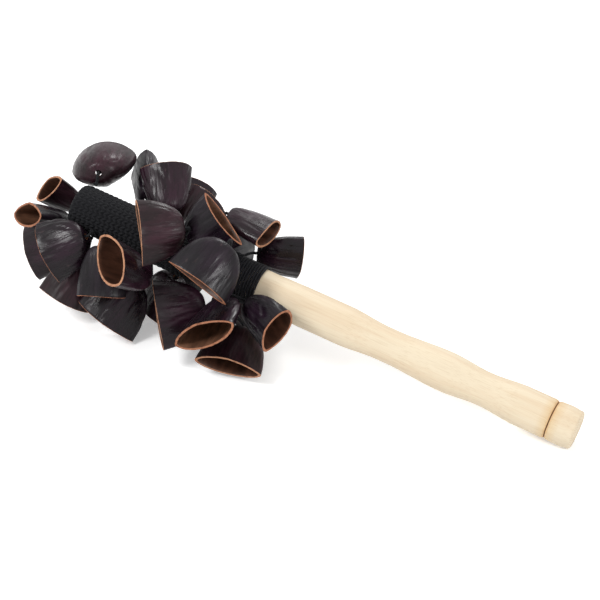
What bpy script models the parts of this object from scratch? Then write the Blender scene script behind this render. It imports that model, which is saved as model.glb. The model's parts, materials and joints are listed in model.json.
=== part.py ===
"""Stick shaker: a turned stick whose head wears a knitted cord sleeve hung with halved nutshells.

Each nutshell is a drilled cup on its own short tie. The tie starts on the sleeve, runs through the
hole in the back of the cup and ends in a knot inside it, so every cup sways about the foot of its tie.
Everything is placed in the stick's own frame: X from the tip to the butt, and clock angles round it,
0 at the top, 90 towards the front, 180 underneath, 270 at the back. The stick then leans until the
lowest nutshells and the lower edge of the butt stand on the same level.
"""
import math
from collections import namedtuple

import bmesh
import bpy
from mathutils import Matrix, Vector

MM = 0.001

# Running gaps
SEAT_GAP = 0.3 * MM

# Stick
STICK_LENGTH = 344.0 * MM
STOCK_RADIUS = 12.5 * MM
HEAD_CORE_RADIUS = 12.0 * MM
WAIST_RADIUS = 10.7 * MM
LOWER_WAIST = 61.0 * MM
UPPER_WAIST = 130.0 * MM
WAIST_SPREAD = 26.0 * MM
SHOULDER = 0.3 * MM
KNOB_LENGTH = 15.5 * MM
GROOVE_WIDTH = 2.0 * MM
GROOVE_DEPTH = 1.0 * MM
BUTT_CHAMFER = 1.5 * MM
TIP_ROUNDING = 4.0 * MM
HEAD_LENGTH = 136.0 * MM
STICK_STEPS = 28

# Knitted sleeve and the cords wound on it
SLEEVE_WALL = 2.4 * MM
SLEEVE_LENGTH = 112.0 * MM
SLEEVE_STEPS = 24
BINDING_CORD = 1.8 * MM
BINDING_TURNS = 10
PLAIT_DIAMETER = 4.2 * MM
PLAIT_START = (84.0, 66.0)
PLAIT_END = (106.0, 42.0)
PLAIT_POINTS = 12

# Nutshells
SHELL_WALL = 1.8 * MM
TIE_HOLE_RADIUS = 2.0 * MM
SHELL_STEPS = 12
SHELL_LEVELS = (0.12, 0.36, 0.66, 1.0)
SHELL_PAD_RADIUS = 4.2 * MM
KEEL_SHARPNESS = 0.35
LENS_POINT = 0.30

# Ties
TIE_DIAMETER = 2.0 * MM
KNOT_RADIUS = 2.6 * MM
FOOT_RADIUS = 1.7 * MM
TIE_LEAD = 2.0 * MM
FOOT_MARGIN = 4.0 * MM
TIE_BENDS = 3
TIE_SLACK = 0.7

SLEEVE_RADIUS = HEAD_CORE_RADIUS + SEAT_GAP + SLEEVE_WALL

# The butt's edge above its chamfer, which stands on the ground
EDGE_STATION = STICK_LENGTH - BUTT_CHAMFER
EDGE_RADIUS = STOCK_RADIUS - SHOULDER

# One row for each nutshell. The hole in its back has a station in mm, a clock angle in degrees and a
# stand-off from the sleeve in mm. The mouth looks along a clock angle, leans towards the butt and is
# turned about that line. The size is the mouth's length and width and the cup's depth. The foot of its
# tie lies on the sleeve below the hole, moved aside by a station and a clock angle where a neighbour is
# in the way.
Nut = namedtuple("Nut", "hole looks size aside")
NUTS = [
    Nut((-18, 226, 27), (39, -43, 38), (27, 18, 24), (0, 0)),
    Nut((-14, 200, 12), (66, -40, 22), (40, 17, 28), (0, 0)),
    Nut((-7, 187, 22), (168, -50, 17), (38, 21, 31), (0, 0)),
    Nut((17, 94, 7), (151, -45, 3), (41, 22, 29), (0, 0)),
    Nut((13, 158, 17), (144, -5, -16), (36, 20, 31), (0, 0)),
    Nut((31, 88, 11), (149, 20, -15), (32, 17, 32), (0, 0)),
    Nut((65, 98, 13), (49, -36, -28), (45, 24, 31), (-4, -18)),
    Nut((51, 155, 16), (140, -14, -13), (44, 22, 33), (0, 0)),
    Nut((2, 318, 9), (243, -17, -34), (44, 29, 30), (0, 0)),
    Nut((30, 265, 20), (257, -29, 78), (42, 21, 31), (0, 0)),
    Nut((53, 299, 6), (299, -32, 11), (34, 21, 31), (0, 0)),
    Nut((52, 250, 34), (289, -15, 18), (34, 18, 28), (0, 0)),
    Nut((66, 256, 9), (282, -3, 40), (36, 20, 30), (0, 0)),
    Nut((83, 25, 7), (332, 33, 4), (40, 18, 26), (0, 0)),
    Nut((93, 321, 19), (93, 87, -20), (36, 18, 29), (0, 0)),
    Nut((114, 274, 11), (270, 63, -81), (38, 22, 28), (0, 0)),
    Nut((79, 24, 21), (104, -53, -35), (42, 20, 28), (-8, 26)),
    Nut((110, 26, 29), (124, -10, -16), (44, 21, 30), (0, 0)),
    Nut((104, 128, 11), (109, -52, -31), (45, 21, 31), (0, 0)),
    Nut((116, 96, 8), (94, 5, 48), (52, 19, 32), (0, 0)),
    Nut((127, 158, 16), (105, 11, 3), (44, 19, 30), (0, 0)),
    Nut((131, 82, 6), (83, 63, 71), (32, 22, 30), (0, 0)),
    Nut((72, 182, 8), (170, -10, 20), (40, 22, 31), (0, 0)),
    Nut((66, 222, 8), (222, 8, 70), (42, 22, 32), (0, 0)),
    Nut((110, 203, 6), (203, 15, 30), (42, 20, 31), (0, 0)),
    Nut((94, 242, 8), (248, 0, 80), (40, 20, 31), (0, 0)),
    Nut((28, 212, 6), (222, -5, 60), (38, 20, 30), (0, 0)),
]


def clear_scene():
    for old in list(bpy.data.objects):
        bpy.data.objects.remove(old, do_unlink=True)


def new_collection(name):
    group = bpy.data.collections.new(name)
    bpy.context.scene.collection.children.link(group)
    return group


def material(name, colour, roughness, metallic=0.0):
    made = bpy.data.materials.new(name)
    made.use_nodes = True
    shader = made.node_tree.nodes["Principled BSDF"]
    shader.inputs["Base Color"].default_value = (*colour, 1.0)
    shader.inputs["Roughness"].default_value = roughness
    shader.inputs["Metallic"].default_value = metallic
    return made


def place(obj, group, parent, finish, location=(0.0, 0.0, 0.0)):
    group.objects.link(obj)
    obj.parent = parent
    obj.location = location
    obj.data.materials.append(finish)
    return obj


def turned(name, profile, steps, closed=False):
    """Turn a profile of (station, radius) points, given from the butt side to the tip, about the stick."""
    shape = bmesh.new()
    points = [shape.verts.new((radius, 0.0, station)) for station, radius in profile]
    pairs = list(zip(points, points[1:]))
    if closed:
        pairs.append((points[-1], points[0]))
    for first, second in pairs:
        shape.edges.new((first, second))
    mesh = bpy.data.meshes.new(name)
    shape.to_mesh(mesh)
    shape.free()
    obj = bpy.data.objects.new(name, mesh)
    obj.rotation_euler = (0.0, math.radians(90.0), 0.0)
    screw = obj.modifiers.new("turning", "SCREW")
    screw.axis = "Z"
    screw.steps = steps
    screw.render_steps = steps
    screw.use_merge_vertices = True
    screw.merge_threshold = 0.00001
    screw.use_smooth_shade = True
    return obj


def clock_direction(degrees):
    angle = math.radians(degrees)
    return Vector((0.0, -math.sin(angle), math.cos(angle)))


def on_head(station, degrees, radius):
    """A point at a station in mm, a clock angle and a radius in metres from the stick's axis."""
    return Vector((station * MM, 0.0, 0.0)) + clock_direction(degrees) * radius


def stick_profile():
    """Points from the butt's centre to the tip's centre, by their distance from the butt."""
    full, waist = STOCK_RADIUS, WAIST_RADIUS
    half = (full + waist) / 2
    groove = KNOB_LENGTH + GROOVE_WIDTH / 2
    turning = [
        (0.0, 0.0),
        (0.0, full - BUTT_CHAMFER),
        (BUTT_CHAMFER, full - SHOULDER),
        (KNOB_LENGTH / 2, full + SHOULDER),
        (KNOB_LENGTH, full - SHOULDER),
        (groove, full - GROOVE_DEPTH),
        (groove + GROOVE_WIDTH / 2, full - SHOULDER),
        (groove + GROOVE_WIDTH * 3, full),
        (LOWER_WAIST - WAIST_SPREAD, full),
        (LOWER_WAIST - WAIST_SPREAD / 2, half),
        (LOWER_WAIST, waist),
        (LOWER_WAIST + WAIST_SPREAD / 2, half),
        (LOWER_WAIST + WAIST_SPREAD, full),
        (UPPER_WAIST - WAIST_SPREAD, half + SHOULDER),
        (UPPER_WAIST - WAIST_SPREAD / 2, waist),
        (UPPER_WAIST, waist),
        (UPPER_WAIST + WAIST_SPREAD / 2, half),
        (UPPER_WAIST + WAIST_SPREAD, full),
        (UPPER_WAIST + WAIST_SPREAD * 2, full),
        (STICK_LENGTH - HEAD_LENGTH, HEAD_CORE_RADIUS),
        (STICK_LENGTH - TIP_ROUNDING, HEAD_CORE_RADIUS),
        (STICK_LENGTH - TIP_ROUNDING * 0.3, HEAD_CORE_RADIUS - TIP_ROUNDING * 0.3),
        (STICK_LENGTH, HEAD_CORE_RADIUS - TIP_ROUNDING),
        (STICK_LENGTH, 0.0),
    ]
    return [(STICK_LENGTH - from_butt, radius) for from_butt, radius in turning]


def sleeve_profile():
    """A sock closed at the tip: along its inside to the open end, then back outside to its cap."""
    outer, inner = SLEEVE_RADIUS, HEAD_CORE_RADIUS + SEAT_GAP
    end, cap = SLEEVE_LENGTH, -SEAT_GAP - SLEEVE_WALL
    bevel = SLEEVE_WALL / 2
    return [
        (-SEAT_GAP, 0.0),
        (-SEAT_GAP, inner - TIP_ROUNDING),
        (TIP_ROUNDING * 0.3 - SEAT_GAP, inner - TIP_ROUNDING * 0.3),
        (TIP_ROUNDING, inner),
        (end, inner),
        (end, outer - bevel),
        (end - bevel, outer),
        (cap + SLEEVE_WALL * 1.5, outer),
        (cap + SLEEVE_WALL * 0.4, outer - SLEEVE_WALL * 0.5),
        (cap, outer - SLEEVE_WALL * 1.6),
        (cap, 0.0),
    ]


def binding_profile():
    """Close turns of cord wound round the stick behind the sleeve, as one ribbed collar."""
    inner = HEAD_CORE_RADIUS + SEAT_GAP
    start = SLEEVE_LENGTH + SEAT_GAP
    length = BINDING_TURNS * BINDING_CORD
    ribs = [(start + length, inner)]
    for turn in range(BINDING_TURNS):
        top = start + length - turn * BINDING_CORD
        ribs.append((top, inner + BINDING_CORD * 0.6))
        ribs.append((top - BINDING_CORD * 0.5, inner + BINDING_CORD))
    ribs.append((start, inner + BINDING_CORD * 0.6))
    ribs.append((start, inner))
    return ribs


def cord(name, points, radii, diameter, resolution):
    """A capped tube through the points, swelling by each point's share of the diameter."""
    curve = bpy.data.curves.new(name, "CURVE")
    curve.dimensions = "3D"
    curve.bevel_depth = diameter / 2
    curve.bevel_resolution = resolution
    curve.use_fill_caps = True
    line = curve.splines.new("POLY")
    line.points.add(len(points) - 1)
    for knot, point, radius in zip(line.points, points, radii):
        knot.co = (*point, 1.0)
        knot.radius = radius / (diameter / 2)
    return bpy.data.objects.new(name, curve)


def plait_points():
    """The loose length of plaited cord that lies along the sleeve, from clock angle to clock angle."""
    radius = SLEEVE_RADIUS + SEAT_GAP + PLAIT_DIAMETER / 2
    points = []
    for step in range(PLAIT_POINTS):
        share = step / (PLAIT_POINTS - 1)
        station = PLAIT_START[0] + (PLAIT_END[0] - PLAIT_START[0]) * share
        clock = PLAIT_START[1] + (PLAIT_END[1] - PLAIT_START[1]) * share
        points.append(on_head(station, clock, radius))
    return points


def shell_axes(looks):
    """The mouth's long side, its short side and the line it looks along."""
    clock, lean, turn = looks
    outward = clock_direction(clock)
    tilt = math.radians(lean)
    along = Vector((1.0, 0.0, 0.0))
    axis = outward * math.cos(tilt) + along * math.sin(tilt)
    level = along * math.cos(tilt) - outward * math.sin(tilt)
    across = axis.cross(level)
    spin = math.radians(turn)
    long_side = level * math.cos(spin) + across * math.sin(spin)
    return long_side, axis.cross(long_side), axis


def mouth_point(step, length, width):
    """A point of the nut's section: pointed at both ends, with a keel along one broad face."""
    angle = 2 * math.pi * step / SHELL_STEPS
    cosine, sine = math.cos(angle), math.sin(angle)
    side = sine * abs(sine) ** LENS_POINT
    if sine > 0.0:
        roof = 1.0 - abs(2 * angle / math.pi - 1.0)
        side = side * (1.0 - KEEL_SHARPNESS) + roof * KEEL_SHARPNESS
    return cosine * length / 2, side * width / 2


def nutshell(name, nut):
    """A half nutshell: an open dome from the tie hole to the mouth, thickened inwards by the shell wall.

    Round the hole its back is a small round pad, which swells into the mouth's outline.
    """
    length, width, depth = (value * MM for value in nut.size)
    long_side, short_side, axis = shell_axes(nut.looks)
    hole = hole_place(nut)
    courses = [(TIE_HOLE_RADIUS, 0.0), (SHELL_PAD_RADIUS, 0.0)]
    courses += [(SHELL_PAD_RADIUS, level) for level in SHELL_LEVELS]
    shape = bmesh.new()
    rings = []
    for back_radius, level in courses:
        swell = math.sqrt(1.0 - (1.0 - level) ** 2)
        back = back_radius * (1.0 - swell)
        ring = []
        for step in range(SHELL_STEPS):
            angle = 2 * math.pi * step / SHELL_STEPS
            x, y = mouth_point(step, length, width)
            offset = long_side * (back * math.cos(angle) + x * swell)
            offset += short_side * (back * math.sin(angle) + y * swell)
            ring.append(shape.verts.new(hole + offset + axis * (depth * level)))
        rings.append(ring)
    for lower, upper in zip(rings, rings[1:]):
        for step in range(SHELL_STEPS):
            after = (step + 1) % SHELL_STEPS
            shape.faces.new((lower[step], lower[after], upper[after], upper[step]))
    bmesh.ops.translate(shape, verts=shape.verts, vec=-tie_foot(nut)[0])
    mesh = bpy.data.meshes.new(name)
    shape.to_mesh(mesh)
    shape.free()
    mesh.shade_smooth()
    obj = bpy.data.objects.new(name, mesh)
    wall = obj.modifiers.new("wall", "SOLIDIFY")
    wall.thickness = SHELL_WALL
    wall.offset = -1.0
    wall.use_quality_normals = True
    return obj


def hole_place(nut):
    return on_head(nut.hole[0], nut.hole[1], SLEEVE_RADIUS + nut.hole[2] * MM)


def tie_lead(nut):
    """Where the tie has left the hole, straight out of the cup's back."""
    return hole_place(nut) - shell_axes(nut.looks)[2] * TIE_LEAD


def tie_foot(nut):
    """The small knot that fastens the tie to the sleeve, where the hinge is, and its way outwards."""
    lead = tie_lead(nut)
    clock = math.degrees(math.atan2(-lead.y, lead.z)) + nut.aside[1]
    station = min(max(lead.x, FOOT_MARGIN), SLEEVE_LENGTH - FOOT_MARGIN) + nut.aside[0] * MM
    outward = clock_direction(clock)
    along = Vector((station, 0.0, 0.0))
    return along + outward * (SLEEVE_RADIUS + SEAT_GAP + FOOT_RADIUS), outward


def smooth_run(start, leaving, end, arriving, count):
    """Points of a smooth curve between two points with a direction at each, ends left out."""
    reach = (end - start).length * TIE_SLACK
    run = []
    for step in range(1, count):
        t = step / count
        run.append(
            start * (2 * t ** 3 - 3 * t ** 2 + 1)
            + leaving * (reach * (t ** 3 - 2 * t ** 2 + t))
            + end * (3 * t ** 2 - 2 * t ** 3)
            + arriving * (reach * (t ** 3 - t ** 2))
        )
    return run


def tie(name, nut):
    """A short cord from its foot on the sleeve, through the hole, to the knot inside the cup."""
    foot, outward = tie_foot(nut)
    axis = shell_axes(nut.looks)[2]
    lead = tie_lead(nut)
    knot = hole_place(nut) + axis * (SHELL_WALL + SEAT_GAP + KNOT_RADIUS * 0.75)
    thin = TIE_DIAMETER / 2
    start = foot + outward * FOOT_RADIUS
    points = [foot - outward * FOOT_RADIUS * 0.9, foot - outward * FOOT_RADIUS * 0.3]
    radii = [FOOT_RADIUS * 0.5, FOOT_RADIUS]
    points += [foot + outward * FOOT_RADIUS * 0.5, start]
    radii += [FOOT_RADIUS * 0.9, thin]
    middle = smooth_run(start, outward, lead, axis, TIE_BENDS)
    points += middle + [lead, knot - axis * KNOT_RADIUS * 0.95]
    radii += [thin] * (len(middle) + 2)
    for height, share in ((-0.5, 0.9), (0.5, 0.9), (0.95, 0.35)):
        points.append(knot + axis * (KNOT_RADIUS * height))
        radii.append(KNOT_RADIUS * share)
    return cord(name, [point - foot for point in points], radii, TIE_DIAMETER, 1)


def outer_points(objects):
    """Every point of the nutshells' outer faces, in the stick's frame."""
    return [obj.location + vertex.co for obj in objects for vertex in obj.data.vertices]


def resting_lean(points):
    """The angle at which the lowest nutshell and the butt's lower edge stand on one level."""
    return max(math.atan2(-point.z - EDGE_RADIUS, EDGE_STATION - point.x) for point in points)


def resting_spot(points, lean):
    """Where the tip goes, so that the whole shaker stands on the ground centred on the origin."""
    turn = Matrix.Rotation(lean, 3, "Y")
    standing = [turn @ point for point in points]
    standing.append(turn @ Vector((STICK_LENGTH, 0.0, STOCK_RADIUS - BUTT_CHAMFER)))
    middle_x = (min(p.x for p in standing) + max(p.x for p in standing)) / 2
    middle_y = (min(p.y for p in standing) + max(p.y for p in standing)) / 2
    lift = EDGE_STATION * math.sin(lean) + EDGE_RADIUS * math.cos(lean)
    return -middle_x, -middle_y, lift


clear_scene()
parts = new_collection("stick_shaker")
rest = bpy.data.objects.new("resting_place", None)
parts.objects.link(rest)

pale_wood = material("pale_turned_wood", (0.82, 0.70, 0.50), 0.55)
knitted_cord = material("black_knitted_cord", (0.012, 0.012, 0.016), 0.75)
wound_cord = material("black_wound_cord", (0.014, 0.014, 0.018), 0.65)
tie_cord = material("black_tie_cord", (0.016, 0.016, 0.018), 0.7)
plaited_cord = material("black_plaited_cord", (0.013, 0.013, 0.017), 0.7)
nut_brown = material("dark_nutshell", (0.035, 0.020, 0.022), 0.38)

place(turned("stick", stick_profile(), STICK_STEPS), parts, rest, pale_wood)
place(turned("knitted_sleeve", sleeve_profile(), SLEEVE_STEPS), parts, rest, knitted_cord)
place(turned("handle_binding", binding_profile(), SLEEVE_STEPS, closed=True), parts, rest, wound_cord)
plait = plait_points()
plait_radii = [PLAIT_DIAMETER / 2] * len(plait)
plait_radii[0] = plait_radii[-1] = PLAIT_DIAMETER / 4
place(cord("plaited_cord", plait, plait_radii, PLAIT_DIAMETER, 2), parts, rest, plaited_cord)

shells = []
for number, nut in enumerate(NUTS, start=1):
    foot = tie_foot(nut)[0]
    shells.append(place(nutshell(f"nutshell_{number:02d}", nut), parts, rest, nut_brown, foot))
    place(tie(f"tie_{number:02d}", nut), parts, rest, tie_cord, foot)

shell_points = outer_points(shells)
lean = resting_lean(shell_points)
rest.rotation_euler = (0.0, lean, 0.0)
rest.location = resting_spot(shell_points, lean)
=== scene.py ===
"""The stick shaker dressed: turned wood, knitted and wound cord, and a head full of dark nutshell cups."""

import json
import math
from collections import namedtuple

import bmesh
import bpy
from mathutils import Matrix, Vector, noise


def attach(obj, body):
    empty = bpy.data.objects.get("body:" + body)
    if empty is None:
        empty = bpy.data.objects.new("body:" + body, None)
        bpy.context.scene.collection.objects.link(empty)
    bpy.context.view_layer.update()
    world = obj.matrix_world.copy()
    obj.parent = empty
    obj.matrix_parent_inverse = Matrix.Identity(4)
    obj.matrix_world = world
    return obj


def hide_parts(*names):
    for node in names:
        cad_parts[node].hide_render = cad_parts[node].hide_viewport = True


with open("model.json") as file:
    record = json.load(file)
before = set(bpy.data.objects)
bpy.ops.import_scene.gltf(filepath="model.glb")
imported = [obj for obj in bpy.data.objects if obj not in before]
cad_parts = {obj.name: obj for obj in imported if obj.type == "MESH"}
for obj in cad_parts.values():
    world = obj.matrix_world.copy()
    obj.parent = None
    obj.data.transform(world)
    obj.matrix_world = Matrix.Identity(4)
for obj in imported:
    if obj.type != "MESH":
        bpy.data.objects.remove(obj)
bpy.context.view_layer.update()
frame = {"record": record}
MM = 0.001

# The camera looks down on the shaker from its front, with the handle running away to the right.
# It is hung on the handle's end face, which is seen low at the right edge of the picture.
end_face = frame["record"]["mounts"][0]
handle_end = Vector(end_face["pos_m"])
stick_way = Vector(end_face["axis"]).normalized()
LOOK_AZIMUTH = math.radians(26.0)
LOOK_ELEVATION = math.radians(38.0)
LOOK_DISTANCE = 1300.0 * MM
END_FACE_RIGHT_OF_CENTRE = 165.4 * MM
END_FACE_BELOW_CENTRE = 78.2 * MM
PICTURE_WIDTH = 358.2 * MM

picture_right = Vector((math.cos(LOOK_AZIMUTH), math.sin(LOOK_AZIMUTH), 0.0))
towards_camera = Vector((
    math.sin(LOOK_AZIMUTH) * math.cos(LOOK_ELEVATION),
    -math.cos(LOOK_AZIMUTH) * math.cos(LOOK_ELEVATION),
    math.sin(LOOK_ELEVATION),
))
picture_up = towards_camera.cross(picture_right)
picture_centre = (
    handle_end - picture_right * END_FACE_RIGHT_OF_CENTRE + picture_up * END_FACE_BELOW_CENTRE
)
camera = bpy.data.objects.new("camera", bpy.data.cameras.new("camera"))
bpy.context.scene.collection.objects.link(camera)
turn = Matrix((picture_right, picture_up, towards_camera)).transposed().to_4x4()
camera.matrix_world = Matrix.Translation(picture_centre + towards_camera * LOOK_DISTANCE) @ turn
camera.data.lens = camera.data.sensor_width * LOOK_DISTANCE / PICTURE_WIDTH
camera.data.clip_end = 20.0
bpy.context.scene.camera = camera

# The stick is one piece of pale close-grained hardwood, turned with two soft waists, a groove that is
# burnt dark with a wire, and a barrel knob. It is only sanded, so its grain and end rings show.
STICK_LENGTH = 344.0 * MM
STOCK_RADIUS = 12.5 * MM
HEAD_CORE_RADIUS = 12.0 * MM
WAIST_RADIUS = 10.7 * MM
LOWER_WAIST = 61.0 * MM
UPPER_WAIST = 130.0 * MM
WAIST_SPREAD = 26.0 * MM
SHOULDER = 0.3 * MM
KNOB_LENGTH = 15.5 * MM
GROOVE_WIDTH = 2.0 * MM
BURN_WIDTH = 0.6 * MM
BURN_DEPTH = 1.4 * MM
ROLL_REACH = 3.2 * MM
ROLL_DROP = 0.95 * MM
TOAST_REACH = 7.0 * MM
BUTT_CHAMFER = 1.5 * MM
TIP_ROUNDING = 4.0 * MM
TURNING_STEP = 1.5 * MM
STICK_SIDES = 96
CREAM, STRAW = (0.77, 0.66, 0.49), (0.71, 0.56, 0.385)
TOASTED = (0.84, 0.62, 0.40)
SCORCH, SINGED = (0.085, 0.035, 0.016), (0.26, 0.13, 0.060)

side_way = Vector((0.0, 1.0, 0.0))
stick_frame = Matrix((stick_way, side_way, stick_way.cross(side_way))).transposed().to_4x4()
stick_frame.translation = handle_end - stick_way * STICK_LENGTH


def finish(name, roughness, shine=0.5):
    made = bpy.data.materials.new(name)
    made.use_nodes = True
    shader = made.node_tree.nodes["Principled BSDF"]
    shader.inputs["Roughness"].default_value = roughness
    shader.inputs["Specular IOR Level"].default_value = shine
    return made, made.node_tree, shader


def made_place(tree):
    """The place that each point of a piece had while it was made, before it was settled."""
    spot = tree.nodes.new("ShaderNodeAttribute")
    spot.attribute_name = "made_place"
    return spot.outputs["Vector"]


def streaks(tree, stretch, detail=4.0):
    """Noise that keeps to the piece, with so many lumps to the metre along each of its axes."""
    mapping = tree.nodes.new("ShaderNodeMapping")
    mapping.inputs["Scale"].default_value = stretch
    grain = tree.nodes.new("ShaderNodeTexNoise")
    grain.inputs["Scale"].default_value = 1.0
    grain.inputs["Detail"].default_value = detail
    tree.links.new(made_place(tree), mapping.inputs["Vector"])
    tree.links.new(mapping.outputs["Vector"], grain.inputs["Vector"])
    return grain.outputs[0]


def tinted(tree, factor, stops):
    """The factor turned into colours, by stops of (place, colour)."""
    ramp = tree.nodes.new("ShaderNodeValToRGB")
    bands = ramp.color_ramp.elements
    while len(bands) < len(stops):
        bands.new(0.5)
    for band, (spot, colour) in zip(bands, stops):
        band.position = spot
        band.color = (*colour, 1.0)
    tree.links.new(factor, ramp.inputs["Fac"])
    return ramp.outputs["Color"]


def blended(tree, first, second, how, share):
    mixer = tree.nodes.new("ShaderNodeMix")
    mixer.data_type = "RGBA"
    mixer.blend_type = how
    mixer.inputs["Factor"].default_value = share
    tree.links.new(first, mixer.inputs["A"])
    tree.links.new(second, mixer.inputs["B"])
    return mixer.outputs["Result"]


def relief(tree, shader, height, depth, strength=1.0):
    bump = tree.nodes.new("ShaderNodeBump")
    bump.inputs["Distance"].default_value = depth
    bump.inputs["Strength"].default_value = strength
    tree.links.new(height, bump.inputs["Height"])
    tree.links.new(bump.outputs["Normal"], shader.inputs["Normal"])


def distance_from(tree, station, reach):
    """0 at a station of the stick, rising to 1 where the reach ends on either side."""
    parts = tree.nodes.new("ShaderNodeSeparateXYZ")
    tree.links.new(made_place(tree), parts.inputs["Vector"])
    apart = tree.nodes.new("ShaderNodeMath")
    apart.operation = "SUBTRACT"
    apart.inputs[1].default_value = station
    tree.links.new(parts.outputs["X"], apart.inputs[0])
    size = tree.nodes.new("ShaderNodeMath")
    size.operation = "ABSOLUTE"
    tree.links.new(apart.outputs["Value"], size.inputs[0])
    share = tree.nodes.new("ShaderNodeMath")
    share.operation = "DIVIDE"
    share.use_clamp = True
    share.inputs[1].default_value = reach
    tree.links.new(size.outputs["Value"], share.inputs[0])
    return share.outputs["Value"]


def sanded_wood():
    made, tree, shader = finish("sanded_wood", 0.56, 0.35)
    bands = tinted(tree, streaks(tree, (7.0, 170.0, 170.0), 5.0), [(0.32, STRAW), (0.56, CREAM)])
    pores = streaks(tree, (45.0, 2900.0, 2900.0), 3.0)
    flecks = tinted(tree, pores, [(0.34, (0.86, 0.81, 0.74)), (0.47, (1.0, 1.0, 1.0))])
    grained = blended(tree, bands, flecks, "MULTIPLY", 0.7)
    heat = distance_from(tree, STICK_LENGTH - KNOB_LENGTH - GROOVE_WIDTH / 2, TOAST_REACH)
    toast = tinted(tree, heat, [(0.0, TOASTED), (0.25, (0.95, 0.86, 0.72)), (1.0, (1.0, 1.0, 1.0))])
    tree.links.new(blended(tree, grained, toast, "MULTIPLY", 1.0), shader.inputs["Base Color"])
    relief(tree, shader, pores, 0.05 * MM)
    return made


def end_grain_wood():
    made, tree, shader = finish("end_grain_wood", 0.65, 0.35)
    rings = tree.nodes.new("ShaderNodeTexWave")
    rings.wave_type = "RINGS"
    rings.rings_direction = "X"
    rings.inputs["Scale"].default_value = 190.0
    rings.inputs["Distortion"].default_value = 2.5
    shift = tree.nodes.new("ShaderNodeMapping")
    shift.inputs["Location"].default_value = (0.0, 0.016, 0.009)
    tree.links.new(made_place(tree), shift.inputs["Vector"])
    tree.links.new(shift.outputs["Vector"], rings.inputs["Vector"])
    colour = tinted(tree, rings.outputs["Fac"], [(0.0, STRAW), (0.6, CREAM)])
    tree.links.new(colour, shader.inputs["Base Color"])
    relief(tree, shader, streaks(tree, (900.0, 900.0, 900.0)), 0.08 * MM)
    return made


def scorched_wood():
    made, tree, shader = finish("scorched_wood", 0.7)
    colour = tinted(tree, streaks(tree, (300.0, 160.0, 160.0)), [(0.35, SCORCH), (0.75, SINGED)])
    tree.links.new(colour, shader.inputs["Base Color"])
    return made


def soft_join(points, step):
    """Points between those given, on smooth S-curves, as a turner blends one thickness into the next."""
    made = [points[0]]
    for (x0, r0), (x1, r1) in zip(points, points[1:]):
        count = max(1, round((x1 - x0) / step))
        for i in range(1, count + 1):
            t = i / count
            made.append((x0 + (x1 - x0) * t, r0 + (r1 - r0) * t * t * (3 - 2 * t)))
    return made


def turned_shell(name, profile, sides, material_of):
    """A solid of revolution about the stick from (station, radius) points, tip first, closed at both ends."""
    shape = bmesh.new()
    rings = []
    for station, radius in profile:
        ring = []
        for side in range(sides):
            angle = 2 * math.pi * side / sides
            ring.append(shape.verts.new((station, -math.sin(angle) * radius, math.cos(angle) * radius)))
        rings.append(ring)
    for number, (lower, upper) in enumerate(zip(rings, rings[1:])):
        for side in range(sides):
            after = (side + 1) % sides
            face = shape.faces.new((lower[side], lower[after], upper[after], upper[side]))
            face.material_index = material_of(number)
    shape.faces.new(rings[0]).material_index = material_of(0)
    shape.faces.new(rings[-1]).material_index = material_of(len(rings) - 1)
    bmesh.ops.recalc_face_normals(shape, faces=shape.faces)
    mesh = bpy.data.meshes.new(name)
    shape.to_mesh(mesh)
    shape.free()
    mesh.shade_smooth()
    mesh.set_sharp_from_angle(angle=math.radians(38.0))
    return bpy.data.objects.new(name, mesh)


def settle(piece, place, body, slot, *nodes):
    """Fix a finished piece where its solid is, let it ride on its body and stand for its nodes."""
    mesh = piece.data
    places = [0.0] * (3 * len(mesh.vertices))
    mesh.vertices.foreach_get("co", places)
    mesh.attributes.new("made_place", "FLOAT_VECTOR", "POINT").data.foreach_set("vector", places)
    mesh.transform(place)
    bpy.context.scene.collection.objects.link(piece)
    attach(piece, body)
    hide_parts(*nodes)
    return piece


groove = KNOB_LENGTH + GROOVE_WIDTH / 2
knob = [
    (0.0, STOCK_RADIUS - BUTT_CHAMFER),
    (BUTT_CHAMFER * 0.35, STOCK_RADIUS - BUTT_CHAMFER * 0.45),
    (BUTT_CHAMFER, STOCK_RADIUS - SHOULDER),
]
knob += soft_join([(BUTT_CHAMFER, STOCK_RADIUS - SHOULDER), (KNOB_LENGTH / 2, STOCK_RADIUS + SHOULDER),
                   (groove - ROLL_REACH, STOCK_RADIUS)], TURNING_STEP)[1:]
roll = []
for step in range(1, 8):
    bend = math.pi / 2 * step / 7
    roll.append((ROLL_REACH - (ROLL_REACH - BURN_WIDTH / 2) * math.sin(bend),
                 STOCK_RADIUS - ROLL_DROP * (1 - math.cos(bend))))
knob += [(groove - apart, radius) for apart, radius in roll]
burnt = range(len(knob) - 1, len(knob) + 1)
knob += [(groove, STOCK_RADIUS - BURN_DEPTH)]
knob += [(groove + apart, radius) for apart, radius in reversed(roll)]
handle = soft_join([
    (groove + ROLL_REACH, STOCK_RADIUS),
    (LOWER_WAIST - WAIST_SPREAD, STOCK_RADIUS),
    (LOWER_WAIST, WAIST_RADIUS),
    (LOWER_WAIST + WAIST_SPREAD, STOCK_RADIUS),
    (UPPER_WAIST - WAIST_SPREAD / 4, WAIST_RADIUS),
    (UPPER_WAIST, WAIST_RADIUS),
    (UPPER_WAIST + WAIST_SPREAD, STOCK_RADIUS),
    (UPPER_WAIST + WAIST_SPREAD * 2, STOCK_RADIUS),
    (STICK_LENGTH - 136.0 * MM, HEAD_CORE_RADIUS),
    (STICK_LENGTH - TIP_ROUNDING, HEAD_CORE_RADIUS),
], TURNING_STEP)
tip = [(STICK_LENGTH - TIP_ROUNDING * 0.3, HEAD_CORE_RADIUS - TIP_ROUNDING * 0.3),
       (STICK_LENGTH, HEAD_CORE_RADIUS - TIP_ROUNDING)]
outline = [(STICK_LENGTH - along, radius) for along, radius in knob + handle + tip]
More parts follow.
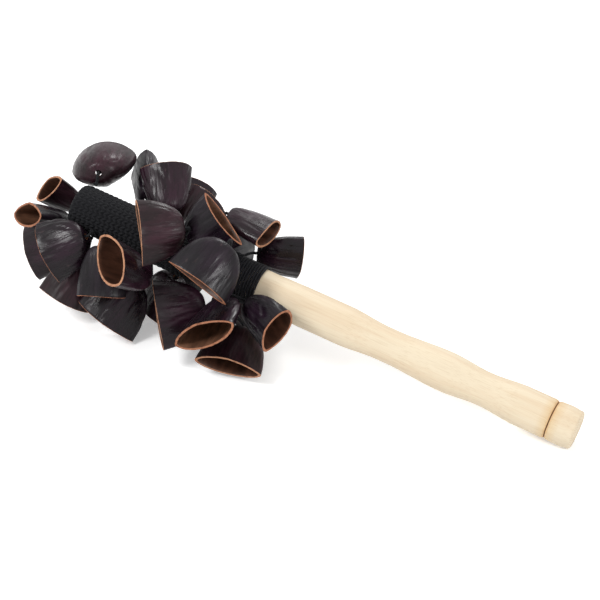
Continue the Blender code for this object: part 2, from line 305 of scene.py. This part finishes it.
stick = turned_shell("turned_stick", outline, STICK_SIDES,
                     lambda ring: 1 if ring in burnt else 2 if ring == 0 else 0)
for made in (sanded_wood(), scorched_wood(), end_grain_wood()):
    stick.data.materials.append(made)
settle(stick, stick_frame, "handle", "pale_wood", "stick")

# The sleeve is knitted from black cord straight onto the head, in columns of V-shaped stitches, and is
# closed over the tip. Every tie is fastened to it.
SEAT_GAP = 0.3 * MM
SLEEVE_WALL = 2.4 * MM
SLEEVE_LENGTH = 112.0 * MM
SLEEVE_RADIUS = HEAD_CORE_RADIUS + SEAT_GAP + SLEEVE_WALL
STITCH_COLUMNS = 22
STITCH_SIDES = 14
STITCH_ROW = 3.4 * MM
STITCH_ROW_STEPS = 10
STITCH_DEPTH = 1.1 * MM
STITCH_SLANT = 0.55


def black_cord(name, shade, sheen):
    made, tree, shader = finish(name, 0.66, 0.14)
    fibres = streaks(tree, (2600.0, 2600.0, 2600.0), 3.0)
    light = tuple(value * 2.4 for value in shade)
    tree.links.new(tinted(tree, fibres, [(0.30, shade), (0.72, light)]), shader.inputs["Base Color"])
    shader.inputs["Sheen Weight"].default_value = sheen
    shader.inputs["Sheen Roughness"].default_value = 0.45
    relief(tree, shader, fibres, 0.12 * MM)
    return made


def stitch_height(station, around):
    """How far the knit stands out, 0 to 1, at a station and a share of the way round."""
    across = (around * STITCH_COLUMNS) % 1.0 * 2 - 1
    strand = abs(math.sin(math.pi * (station / STITCH_ROW - STITCH_SLANT * abs(across))))
    leg = math.sqrt(max(0.0, 1 - (2 * abs(across) - 1) ** 2))
    return strand ** 0.7 * (0.25 + 0.75 * leg)


def knitted_sleeve():
    cap = -SEAT_GAP - SLEEVE_WALL
    closing = [(cap, 0.30), (cap, 0.55), (cap + 0.4 * MM, 0.78), (cap + 1.3 * MM, 0.92)]
    count = round((SLEEVE_LENGTH - cap - 3.0 * MM) / STITCH_ROW * STITCH_ROW_STEPS)
    body = [(cap + 3.0 * MM + (SLEEVE_LENGTH - cap - 3.0 * MM) * i / count, 1.0) for i in range(count + 1)]
    sides = STITCH_COLUMNS * STITCH_SIDES
    shape = bmesh.new()
    rings = []
    for station, share in closing + body:
        ring = []
        for side in range(sides):
            around = side / sides
            angle = 2 * math.pi * around
            radius = (SLEEVE_RADIUS - STITCH_DEPTH * (1 - stitch_height(station, around))) * share
            ring.append(shape.verts.new((station, -math.sin(angle) * radius, math.cos(angle) * radius)))
        rings.append(ring)
    inner = HEAD_CORE_RADIUS + SEAT_GAP
    hem = []
    for side in range(sides):
        angle = 2 * math.pi * side / sides
        hem.append(shape.verts.new((SLEEVE_LENGTH, -math.sin(angle) * inner, math.cos(angle) * inner)))
    rings.append(hem)
    for lower, upper in zip(rings, rings[1:]):
        for side in range(sides):
            after = (side + 1) % sides
            shape.faces.new((lower[side], lower[after], upper[after], upper[side]))
    shape.faces.new(rings[0])
    bmesh.ops.recalc_face_normals(shape, faces=shape.faces)
    mesh = bpy.data.meshes.new("knit")
    shape.to_mesh(mesh)
    shape.free()
    mesh.shade_smooth()
    return bpy.data.objects.new("knitted_head", mesh)


sleeve = knitted_sleeve()
sleeve.data.materials.append(black_cord("knitting_cord", (0.0042, 0.0042, 0.0052), 0.04))
settle(sleeve, stick_frame, "handle", "knitted_cord", "knitted_sleeve")

# The binding is one thin laid cord. It comes out from under the sleeve's lower edge and is wound below
# it in close turns, drawn tight, so that the sleeve can't slide down the handle.
BINDING_CORD = 1.8 * MM
BINDING_TURNS = 10
BINDING_POINTS = 56
CORD_SIDES = 12
CORD_STRANDS = 3


def laid_cord(shape, points, radius, lay, taper=0):
    """Sweep a three-strand section, turning once in each length of lay, along the points."""
    ahead = (points[1] - points[0]).normalized()
    beside = ahead.orthogonal().normalized()
    travelled, rings = 0.0, []
    for number, point in enumerate(points):
        if number:
            travelled += (point - points[number - 1]).length
        following = points[min(number + 1, len(points) - 1)] - points[max(number - 1, 0)]
        ahead = following.normalized()
        beside = (beside - ahead * beside.dot(ahead)).normalized()
        over = ahead.cross(beside)
        edge = min(number, len(points) - 1 - number)
        swell = 1.0 if edge >= taper else 0.55 + 0.45 * edge / taper
        ring = []
        for side in range(CORD_SIDES):
            angle = 2 * math.pi * side / CORD_SIDES
            lobe = abs(math.cos(CORD_STRANDS / 2 * (angle - 2 * math.pi * travelled / lay)))
            reach = radius * swell * (0.78 + 0.22 * lobe)
            ring.append(shape.verts.new(point + (beside * math.cos(angle) + over * math.sin(angle)) * reach))
        rings.append(ring)
    for lower, upper in zip(rings, rings[1:]):
        for side in range(CORD_SIDES):
            after = (side + 1) % CORD_SIDES
            shape.faces.new((lower[side], lower[after], upper[after], upper[side]))
    shape.faces.new(rings[0])
    shape.faces.new(rings[-1])


def corded(name, shape):
    bmesh.ops.recalc_face_normals(shape, faces=shape.faces)
    mesh = bpy.data.meshes.new(name)
    shape.to_mesh(mesh)
    shape.free()
    mesh.shade_smooth()
    return bpy.data.objects.new(name, mesh)


def clock_direction(degrees):
    angle = math.radians(degrees)
    return Vector((0.0, -math.sin(angle), math.cos(angle)))


winding = []
for step in range(-BINDING_POINTS, BINDING_TURNS * BINDING_POINTS - BINDING_POINTS // 2):
    turned = step / BINDING_POINTS
    station = SLEEVE_LENGTH + SEAT_GAP + BINDING_CORD * (turned + 0.5)
    outward = clock_direction(turned * 360.0)
    winding.append(Vector((station, 0.0, 0.0)) + outward * (HEAD_CORE_RADIUS + SEAT_GAP + BINDING_CORD / 2))
shape = bmesh.new()
laid_cord(shape, winding, BINDING_CORD / 2, 5.0 * MM, 3)
binding = corded("wound_binding", shape)
binding.data.materials.append(black_cord("binding_cord", (0.0048, 0.0046, 0.0058), 0.05))
settle(binding, stick_frame, "handle", "wound_cord", "handle_binding")

# The plaited cord is a short three-strand flat plait that lies along the sleeve, where its ends are
# worked into the knitting.
PLAIT_DIAMETER = 4.2 * MM
PLAIT_START = (84.0, 66.0)
PLAIT_END = (106.0, 42.0)
PLAIT_PITCH = 9.0 * MM
PLAIT_STRAND = 0.85 * MM
PLAIT_SWAY, PLAIT_RISE = 1.2 * MM, 0.55 * MM
PLAIT_STEPS = 90

plait_way = Vector((PLAIT_END[0] - PLAIT_START[0], 0.0, 0.0)) * MM
plait_length = math.hypot(plait_way.x, math.radians(PLAIT_START[1] - PLAIT_END[1]) * SLEEVE_RADIUS)
shape = bmesh.new()
for strand in range(3):
    line = []
    for step in range(PLAIT_STEPS + 1):
        share = step / PLAIT_STEPS
        turned = 2 * math.pi * (share * plait_length / PLAIT_PITCH + strand / 3)
        clock = PLAIT_START[1] + (PLAIT_END[1] - PLAIT_START[1]) * share
        outward = clock_direction(clock)
        along = Vector((PLAIT_START[0] * MM, 0.0, 0.0)) + plait_way * share
        beside = outward.cross(Vector((1.0, 0.0, 0.0)))
        height = SLEEVE_RADIUS + SEAT_GAP + PLAIT_DIAMETER / 2 + PLAIT_RISE * math.sin(2 * turned)
        line.append(along + outward * height + beside * (PLAIT_SWAY * math.sin(turned)))
    laid_cord(shape, line, PLAIT_STRAND, 3.0 * MM, 6)
plait = corded("flat_plait", shape)
plait.data.materials.append(black_cord("plaiting_cord", (0.0050, 0.0050, 0.0066), 0.08))
settle(plait, stick_frame, "handle", "plaited_cord", "plaited_cord")

# Each cup is half of a large hard nut, sawn across and drilled through its back. The skin stays dark and
# satin, creased and veined from back to mouth; the sawn rim and the inside show the red-brown shell.
SHELL_WALL = 1.8 * MM
TIE_HOLE_RADIUS = 2.0 * MM
SHELL_PAD_RADIUS = 4.2 * MM
KEEL_SHARPNESS = 0.35
LENS_POINT = 0.30
SHELL_SIDES = 108
SKIN_COURSES = 30
LINING_COURSES = 12
RIM_BEVEL = 0.25 * MM
DENT_DEPTH = 0.65 * MM
CREASE_DEPTH = 0.60 * MM
FLANK_EASE = 0.45 * MM
WRINKLING = (0.70, 1.05, 0.9)
FOOT_RADIUS = 1.7 * MM
FOOT_MARGIN = 4.0 * MM
TIE_LEAD = 2.0 * MM
SKIN_TONES = ((0.0072, 0.0042, 0.0062), (0.0110, 0.0052, 0.0078), (0.0056, 0.0038, 0.0058),
              (0.0135, 0.0058, 0.0074))
RIM_TONES = ((0.34, 0.135, 0.070), (0.43, 0.20, 0.11))
LINING_TONES = ((0.105, 0.044, 0.026), (0.150, 0.070, 0.040))

Nut = namedtuple("Nut", "hole looks size aside")
NUTS = [
    Nut((-18, 226, 27), (39, -43, 38), (27, 18, 24), (0, 0)),
    Nut((-14, 200, 12), (66, -40, 22), (40, 17, 28), (0, 0)),
    Nut((-7, 187, 22), (168, -50, 17), (38, 21, 31), (0, 0)),
    Nut((17, 94, 7), (151, -45, 3), (41, 22, 29), (0, 0)),
    Nut((13, 158, 17), (144, -5, -16), (36, 20, 31), (0, 0)),
    Nut((31, 88, 11), (149, 20, -15), (32, 17, 32), (0, 0)),
    Nut((65, 98, 13), (49, -36, -28), (45, 24, 31), (-4, -18)),
    Nut((51, 155, 16), (140, -14, -13), (44, 22, 33), (0, 0)),
    Nut((2, 318, 9), (243, -17, -34), (44, 29, 30), (0, 0)),
    Nut((30, 265, 20), (257, -29, 78), (42, 21, 31), (0, 0)),
    Nut((53, 299, 6), (299, -32, 11), (34, 21, 31), (0, 0)),
    Nut((52, 250, 34), (289, -15, 18), (34, 18, 28), (0, 0)),
    Nut((66, 256, 9), (282, -3, 40), (36, 20, 30), (0, 0)),
    Nut((83, 25, 7), (332, 33, 4), (40, 18, 26), (0, 0)),
    Nut((93, 321, 19), (93, 87, -20), (36, 18, 29), (0, 0)),
    Nut((114, 274, 11), (270, 63, -81), (38, 22, 28), (0, 0)),
    Nut((79, 24, 21), (104, -53, -35), (42, 20, 28), (-8, 26)),
    Nut((110, 26, 29), (124, -10, -16), (44, 21, 30), (0, 0)),
    Nut((104, 128, 11), (109, -52, -31), (45, 21, 31), (0, 0)),
    Nut((116, 96, 8), (94, 5, 48), (52, 19, 32), (0, 0)),
    Nut((127, 158, 16), (105, 11, 3), (44, 19, 30), (0, 0)),
    Nut((131, 82, 6), (83, 63, 71), (32, 22, 30), (0, 0)),
    Nut((72, 182, 8), (170, -10, 20), (40, 22, 31), (0, 0)),
    Nut((66, 222, 8), (222, 8, 70), (42, 22, 32), (0, 0)),
    Nut((110, 203, 6), (203, 15, 30), (42, 20, 31), (0, 0)),
    Nut((94, 242, 8), (248, 0, 80), (40, 20, 31), (0, 0)),
    Nut((28, 212, 6), (222, -5, 60), (38, 20, 30), (0, 0)),
]


def uneven_gloss(tree, shader, patches, smooth, dull):
    """Handled skin is polished in some places and dull in others."""
    gloss = tree.nodes.new("ShaderNodeMapRange")
    gloss.inputs["From Min"].default_value = 0.35
    gloss.inputs["From Max"].default_value = 0.65
    gloss.inputs["To Min"].default_value = smooth
    gloss.inputs["To Max"].default_value = dull
    tree.links.new(patches, gloss.inputs["Value"])
    tree.links.new(gloss.outputs["Result"], shader.inputs["Roughness"])


def nut_skin(name, tone, gloss):
    made, tree, shader = finish(name, gloss, 0.22)
    plum = (tone[0] * 2.6, tone[1] * 1.6, tone[2] * 2.3)
    clouds = tinted(tree, streaks(tree, (80.0, 80.0, 40.0), 5.0), [(0.38, tone), (0.68, plum)])
    veins = streaks(tree, (560.0, 560.0, 60.0), 7.0)
    lines = tinted(tree, veins, [(0.36, (0.45, 0.40, 0.42)), (0.47, (1.0, 1.0, 1.0))])
    skin = blended(tree, clouds, lines, "MULTIPLY", 0.8)
    rubs = tinted(tree, streaks(tree, (420.0, 420.0, 150.0), 9.0),
                  [(0.66, (0.0, 0.0, 0.0)), (0.76, (0.034, 0.021, 0.021))])
    tree.links.new(blended(tree, skin, rubs, "ADD", 0.7), shader.inputs["Base Color"])
    uneven_gloss(tree, shader, streaks(tree, (210.0, 210.0, 90.0), 4.0), gloss, gloss + 0.16)
    shader.inputs["Coat Weight"].default_value = 0.08
    shader.inputs["Coat Roughness"].default_value = 0.16
    relief(tree, shader, veins, 0.42 * MM, 1.0)
    return made


def sawn_rim(name, tone):
    made, tree, shader = finish(name, 0.68, 0.3)
    dark = (tone[0] * 0.55, tone[1] * 0.5, tone[2] * 0.5)
    light = (tone[0] * 1.3, tone[1] * 1.45, tone[2] * 1.5)
    fibres = streaks(tree, (430.0, 430.0, 180.0), 6.0)
    colour = tinted(tree, fibres, [(0.28, dark), (0.44, tone), (0.70, light)])
    tree.links.new(colour, shader.inputs["Base Color"])
    relief(tree, shader, fibres, 0.2 * MM)
    return made


def nut_lining(name, tone):
    made, tree, shader = finish(name, 0.42, 0.35)
    dark = tuple(value * 0.28 for value in tone)
    stains = streaks(tree, (150.0, 150.0, 60.0), 6.0)
    tree.links.new(tinted(tree, stains, [(0.34, dark), (0.62, tone)]), shader.inputs["Base Color"])
    relief(tree, shader, streaks(tree, (700.0, 700.0, 120.0), 5.0), 0.25 * MM)
    return made


def shell_axes(looks):
    """The mouth's long side, its short side and the line it looks along, in the stick's frame."""
    clock, lean, spin = looks
    outward, along = clock_direction(clock), Vector((1.0, 0.0, 0.0))
    tilt, spin = math.radians(lean), math.radians(spin)
    axis = outward * math.cos(tilt) + along * math.sin(tilt)
    level = along * math.cos(tilt) - outward * math.sin(tilt)
    long_side = level * math.cos(spin) + axis.cross(level) * math.sin(spin)
    return long_side, axis.cross(long_side), axis


def hole_place(nut):
    station, clock, stand_off = nut.hole
    return Vector((station * MM, 0.0, 0.0)) + clock_direction(clock) * (SLEEVE_RADIUS + stand_off * MM)


def mouth_outline(angle, length, width):
    """The nut's section: pointed at both ends, with a keel along one broad face."""
    sine = math.sin(angle)
    side = sine * abs(sine) ** LENS_POINT
    if sine > 0.0:
        roof = 1.0 - abs(2 * angle / math.pi - 1.0)
        side = side * (1.0 - KEEL_SHARPNESS) + roof * KEEL_SHARPNESS
    return math.cos(angle) * length / 2, side * width / 2


def cup_course(nut, level, wall, seed, rough):
    """One ring of the cup, wall thick inside its skin, with dents and creases cut into the skin."""
    length, width, depth = (value * MM for value in nut.size)
    swell = math.sqrt(max(0.0, 1.0 - (1.0 - level) ** 2))
    back = SHELL_PAD_RADIUS * (1.0 - swell)
    sawn = RIM_BEVEL * 2 * level ** 8
    ring = []
    for side in range(SHELL_SIDES):
        angle = 2 * math.pi * side / SHELL_SIDES
        x, y = mouth_outline(angle, length - wall * 2.5, width - wall * 2)
        x = back * math.cos(angle) + x * swell
        y = back * math.sin(angle) + y * swell
        z = wall + (depth - wall) * level - sawn * (1 + math.sin(2 * angle + seed))
        dent = noise.noise(Vector((x * 95, y * 95, z * 70 + seed))) * 0.5 + 0.5
        crease = abs(noise.noise(Vector((x * 190, y * 190, z * 42 + seed * 3))))
        cut = rough * swell * (DENT_DEPTH * dent + CREASE_DEPTH * max(0.0, 0.24 - crease) / 0.24)
        cut *= 1.0 - 0.5 * level ** 6
        if rough:
            cut += FLANK_EASE * swell * (1.0 - 0.6 * level ** 10)
        shrink = 1.0 - cut / max(math.hypot(x, y), SHELL_PAD_RADIUS)
        ring.append(Vector((x * shrink, y * shrink, z)))
    return ring


def nut_cup(name, nut, seed, rough):
    """Skin from the tie hole out to the rim, the sawn rim, then the lining back down to the hole."""
    hole = [Vector((math.cos(2 * math.pi * s / SHELL_SIDES), math.sin(2 * math.pi * s / SHELL_SIDES), 0.0))
            for s in range(SHELL_SIDES)]
    courses, zones = [[point * TIE_HOLE_RADIUS for point in hole]], []
    for number in range(SKIN_COURSES + 1):
        courses.append(cup_course(nut, (number / SKIN_COURSES) ** 1.5, 0.0, seed, rough))
        zones.append(0)
    lip = Vector((0.0, 0.0, RIM_BEVEL))
    skin_edge = courses[-1]
    lining_edge = cup_course(nut, 1.0, SHELL_WALL, seed, 0.0)
    courses[-1] = [point - lip for point in skin_edge]
    courses.append([point.lerp(inner, 0.12) for point, inner in zip(skin_edge, lining_edge)])
    courses.append([point.lerp(inner, 0.88) for point, inner in zip(skin_edge, lining_edge)])
    zones += [1, 1]
    courses.append([point - lip for point in lining_edge])
    zones.append(1)
    for number in range(LINING_COURSES - 1, -1, -1):
        courses.append(cup_course(nut, (number / LINING_COURSES) ** 1.5, SHELL_WALL, seed, 0.0))
        zones.append(2)
    floor = Vector((0.0, 0.0, SHELL_WALL))
    courses.append([point * TIE_HOLE_RADIUS + floor for point in hole])
    zones += [2, 1]
    shape = bmesh.new()
    rings = [[shape.verts.new(point) for point in course] for course in courses]
    for lower, upper, zone in zip(rings, rings[1:] + rings[:1], zones):
        for side in range(SHELL_SIDES):
            after = (side + 1) % SHELL_SIDES
            face = shape.faces.new((lower[side], lower[after], upper[after], upper[side]))
            face.material_index = zone
    bmesh.ops.recalc_face_normals(shape, faces=shape.faces)
    mesh = bpy.data.meshes.new(name)
    shape.to_mesh(mesh)
    shape.free()
    mesh.shade_smooth()
    mesh.set_sharp_from_angle(angle=math.radians(42.0))
    return bpy.data.objects.new(name, mesh)


skins = [nut_skin(f"nut_skin_{i}", tone, 0.19 + 0.03 * i) for i, tone in enumerate(SKIN_TONES)]
rims = [sawn_rim(f"sawn_rim_{i}", tone) for i, tone in enumerate(RIM_TONES)]
linings = [nut_lining(f"nut_lining_{i}", tone) for i, tone in enumerate(LINING_TONES)]
for number, nut in enumerate(NUTS, start=1):
    long_side, short_side, axis = shell_axes(nut.looks)
    standing = Matrix((long_side, short_side, axis)).transposed().to_4x4()
    standing.translation = hole_place(nut)
    cup = nut_cup(f"nut_cup_{number:02d}", nut, number * 1.7, WRINKLING[number % 3])
    for made in (skins[number * 3 % 4], rims[number % 2], linings[number * 2 // 3 % 2]):
        cup.data.materials.append(made)
    settle(cup, stick_frame @ standing, f"cup_{number:02d}", "nutshell", f"nutshell_{number:02d}")

# Each tie is a short black laid cord. It is knotted to the sleeve, runs out through the cup's hole and
# ends in an overhand knot that is too big to pull back through, with a clipped tail.
TIE_RADIUS = 1.0 * MM
KNOT_RADIUS = 2.6 * MM
KNOT_CORD = 0.8 * MM
TIE_SLACK = 0.7
TIE_STEPS = 26
KNOT_STEPS = 54
TAIL_LENGTH = 3.0 * MM


def overhand_knot(shape, centre, axis, size, cord_radius):
    """A drawn-up overhand knot: a three-leaved loop of cord round the line of the tie."""
    beside = axis.orthogonal().normalized()
    over = axis.cross(beside)
    leaf = (size - cord_radius) / 3
    loop = []
    for step in range(KNOT_STEPS):
        t = 2 * math.pi * step / KNOT_STEPS
        x = math.sin(t) + 2 * math.sin(2 * t)
        y = math.cos(t) - 2 * math.cos(2 * t)
        loop.append(centre + (beside * x + over * y) * leaf - axis * (math.sin(3 * t) * leaf * 1.2))
    laid_cord(shape, loop + loop[:2], cord_radius, 3.0 * MM)


def tied_cord(name, nut):
    axis = shell_axes(nut.looks)[2]
    hole = hole_place(nut)
    lead = hole - axis * TIE_LEAD
    clock = math.degrees(math.atan2(-lead.y, lead.z)) + nut.aside[1]
    station = min(max(lead.x, FOOT_MARGIN), SLEEVE_LENGTH - FOOT_MARGIN) + nut.aside[0] * MM
    outward = clock_direction(clock)
    foot = Vector((station, 0.0, 0.0)) + outward * (SLEEVE_RADIUS + SEAT_GAP + FOOT_RADIUS)
    knot = hole + axis * (SHELL_WALL + SEAT_GAP + KNOT_RADIUS * 0.75)
    start = foot + outward * FOOT_RADIUS
    reach = (lead - start).length * TIE_SLACK
    line = [foot + outward * (FOOT_RADIUS * step / 3) for step in range(3)]
    for step in range(TIE_STEPS + 1):
        t = step / TIE_STEPS
        line.append(
            start * (2 * t ** 3 - 3 * t ** 2 + 1) + outward * (reach * (t ** 3 - 2 * t ** 2 + t))
            + lead * (3 * t ** 2 - 2 * t ** 3) + axis * (reach * (t ** 3 - t ** 2))
        )
    for step in range(1, 9):
        line.append(lead.lerp(knot, step / 8))
    tail = [knot + axis * (TAIL_LENGTH * i / 6) + outward * (0.5 * MM * i / 6) for i in range(7)]
    shape = bmesh.new()
    laid_cord(shape, line, TIE_RADIUS, 4.0 * MM)
    laid_cord(shape, tail, TIE_RADIUS * 0.85, 3.0 * MM)
    overhand_knot(shape, knot, axis, KNOT_RADIUS, KNOT_CORD)
    overhand_knot(shape, foot, outward, FOOT_RADIUS, KNOT_CORD * 0.7)
    return corded(name, shape)


tie_black = black_cord("tie_black", (0.0050, 0.0050, 0.0060), 0.08)
for number, nut in enumerate(NUTS, start=1):
    tie = tied_cord(f"tied_cord_{number:02d}", nut)
    tie.data.materials.append(tie_black)
    settle(tie, stick_frame, f"cup_{number:02d}", "tie_cord", f"tie_{number:02d}")

# The shaker lies on a plain white table under large soft lamps. The table keeps its shadow, and what
# lies beyond it is white to the camera and in reflections.
TABLE_SIZE = 8.0
TABLE_WHITE = (0.93, 0.93, 0.93, 1.0)
TABLE_GLOW = 0.34
SKY_STRENGTH = 0.46
LAMPS = (
    ("window_lamp", (-0.55, -0.70, 1.05), 0.38, 10.0),
    ("side_lamp", (0.95, -0.35, 0.70), 0.30, 4.6),
    ("back_lamp", (-0.10, 0.95, 0.85), 0.34, 5.8),
)

bpy.ops.mesh.primitive_plane_add(size=TABLE_SIZE, location=(0.0, 0.0, 0.0))
table = bpy.context.object
table.name = "white_table"
white, tree, shader = finish("table_white", 0.9)
shader.inputs["Base Color"].default_value = TABLE_WHITE
shader.inputs["Emission Color"].default_value = (1.0, 1.0, 1.0, 1.0)
ray = tree.nodes.new("ShaderNodeLightPath")
glow = tree.nodes.new("ShaderNodeMath")
glow.operation = "MULTIPLY"
glow.inputs[1].default_value = TABLE_GLOW
tree.links.new(ray.outputs["Is Camera Ray"], glow.inputs[0])
tree.links.new(glow.outputs["Value"], shader.inputs["Emission Strength"])
table.data.materials.append(white)

world = bpy.data.worlds.new("studio")
bpy.context.scene.world = world
world.use_nodes = True
sky = world.node_tree
backdrop = sky.nodes["Background"]
backdrop.inputs["Color"].default_value = (1.0, 1.0, 1.0, 1.0)
ray = sky.nodes.new("ShaderNodeLightPath")
seen = sky.nodes.new("ShaderNodeMath")
seen.operation = "MAXIMUM"
strength = sky.nodes.new("ShaderNodeMapRange")
strength.inputs["To Min"].default_value = SKY_STRENGTH
strength.inputs["To Max"].default_value = 1.0
sky.links.new(ray.outputs["Is Camera Ray"], seen.inputs[0])
sky.links.new(ray.outputs["Is Glossy Ray"], seen.inputs[1])
sky.links.new(seen.outputs["Value"], strength.inputs["Value"])
sky.links.new(strength.outputs["Result"], backdrop.inputs["Strength"])

for name, spot, size, power in LAMPS:
    lamp = bpy.data.objects.new(name, bpy.data.lights.new(name, "AREA"))
    lamp.data.shape = "DISK"
    lamp.data.size = size
    lamp.data.energy = power
    bpy.context.scene.collection.objects.link(lamp)
    lamp.location = spot
    lamp.rotation_euler = (-Vector(spot)).to_track_quat("-Z", "Y").to_euler()

bpy.context.scene.view_settings.view_transform = "Standard"
